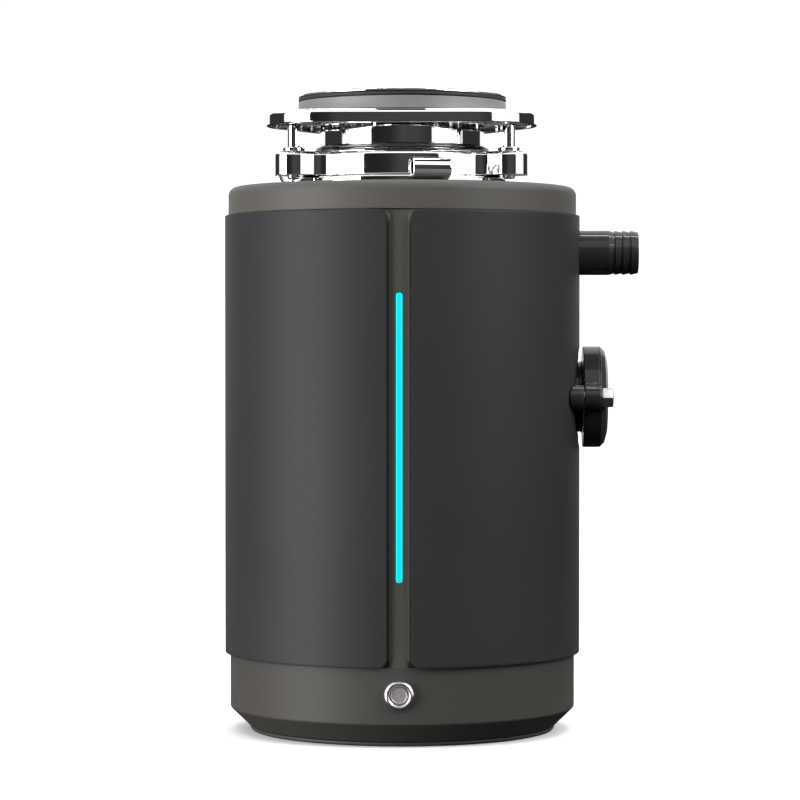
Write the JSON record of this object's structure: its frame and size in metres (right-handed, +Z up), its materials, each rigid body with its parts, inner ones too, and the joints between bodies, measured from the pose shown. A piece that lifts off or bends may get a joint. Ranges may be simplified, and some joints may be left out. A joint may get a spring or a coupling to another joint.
{
  "type": "kitchen garbage disposal",
  "caption": "Under-sink food waste disposer: two-tone cylindrical body with light strip and push button, screw-clamped sink mount, dishwasher inlet and flanged discharge outlet.",
  "frame": {"origin": "centre of the flat underside, on the motor axis", "axes": "+Z up along the motor axis towards the sink flange; -Y is the front with the light bar and push button; +X is the side with the dishwasher inlet and the discharge outlet"},
  "size_m": [0.2213, 0.19, 0.339],
  "materials": {
    "skin_coating": "charcoal fine-textured matte coating",
    "bronze_body": "warm bronze-grey satin moulding",
    "light_bar": "translucent cyan light diffuser",
    "circuit_board": "green circuit board",
    "bright_chrome": "bright chrome plate",
    "satin_steel": "fine satin grey metal",
    "steel_fastener": "zinc-bright steel",
    "flange_steel": "dark polished stainless",
    "grey_gasket": "satin mid-grey gasket",
    "black_rubber": "black moulded rubber",
    "black_plastic": "black semi-gloss moulding",
    "chamber_steel": "brushed stainless",
    "cast_parts": "dark grey iron and lamination steel",
    "motor_aluminium": "die-cast aluminium",
    "copper_winding": "varnished copper wire",
    "foam_grey": "dense grey acoustic foam"
  },
  "bodies": {
    "root": {"outer_skin": "skin_coating", "top_cap": "bronze_body", "base_housing": "bronze_body", "front_rail": "bronze_body", "bottom_cover": "bronze_body", "light_diffuser": "light_bar", "light_board": "circuit_board", "control_board": "circuit_board", "button_bezel": "bright_chrome", "button_spring": "steel_fastener", "button_nut": "steel_fastener", "button_switch": "black_plastic", "cord_inlet_bush": "black_rubber", "sink_flange": "flange_steel", "sink_gasket": "black_rubber", "fibre_gasket": "grey_gasket", "upper_mounting_plate": "bright_chrome", "lower_mounting_plate": "bright_chrome", "mounting_screw_1": "bright_chrome", "mounting_screw_2": "bright_chrome", "mounting_screw_3": "bright_chrome", "snap_ring": "steel_fastener", "splash_baffle": "black_rubber", "hopper": "chamber_steel", "shredder_ring": "cast_parts", "drain_chamber": "motor_aluminium", "shaft_seal": "black_rubber", "dishwasher_inlet": "black_plastic", "inlet_seal": "black_rubber", "discharge_spout": "black_plastic", "outlet_grommet": "black_rubber", "discharge_flange": "black_plastic", "discharge_bolt_1": "steel_fastener", "discharge_bolt_2": "steel_fastener", "motor_housing": "cast_parts", "stator_core": "cast_parts", "stator_winding": "copper_winding", "upper_bearing": "steel_fastener", "lower_bearing": "steel_fastener", "lower_end_bell": "motor_aluminium", "tie_bolt_1": "steel_fastener", "tie_bolt_2": "steel_fastener", "tie_bolt_3": "steel_fastener", "sound_insulation": "foam_grey", "run_capacitor": "black_plastic", "base_screw_1": "steel_fastener", "base_screw_2": "steel_fastener", "base_screw_3": "steel_fastener"},
    "rotor": {"turntable": "chamber_steel", "turntable_nut": "steel_fastener", "motor_shaft": "steel_fastener", "rotor_core": "motor_aluminium", "impeller_pin_1": "steel_fastener", "impeller_pin_2": "steel_fastener"},
    "impeller_lug_1": {"impeller_1": "chamber_steel"},
    "impeller_lug_2": {"impeller_2": "chamber_steel"},
    "push_button": {"button_plunger": "satin_steel"},
    "lock_collar": {"lock_ring": "bright_chrome"}
  },
  "joints": [
    {"name": "motor_spin", "type": "hinge", "parent": "root", "child": "rotor", "pos_m": [0, 0, 0.2], "axis": [0, 0, 1], "continuous": true},
    {"name": "impeller_1_swivel", "type": "hinge", "parent": "rotor", "child": "impeller_lug_1", "pos_m": [0.038, 0, 0.2115], "axis": [0, 0, 1], "continuous": true},
    {"name": "impeller_2_swivel", "type": "hinge", "parent": "rotor", "child": "impeller_lug_2", "pos_m": [-0.038, 0, 0.2115], "axis": [0, 0, 1], "continuous": true},
    {"name": "button_press", "type": "slide", "parent": "root", "child": "push_button", "axis": [0, 1, 0], "range_m": [0, 0.002], "stiffness_N_per_m": 400, "springref_m": -0.001, "deforming": ["button_spring"]},
    {"name": "lock_ring_turn", "type": "hinge", "parent": "root", "child": "lock_collar", "pos_m": [0, 0, 0.2973], "axis": [0, 0, 1], "range_deg": [-38, 0]}
  ]
}
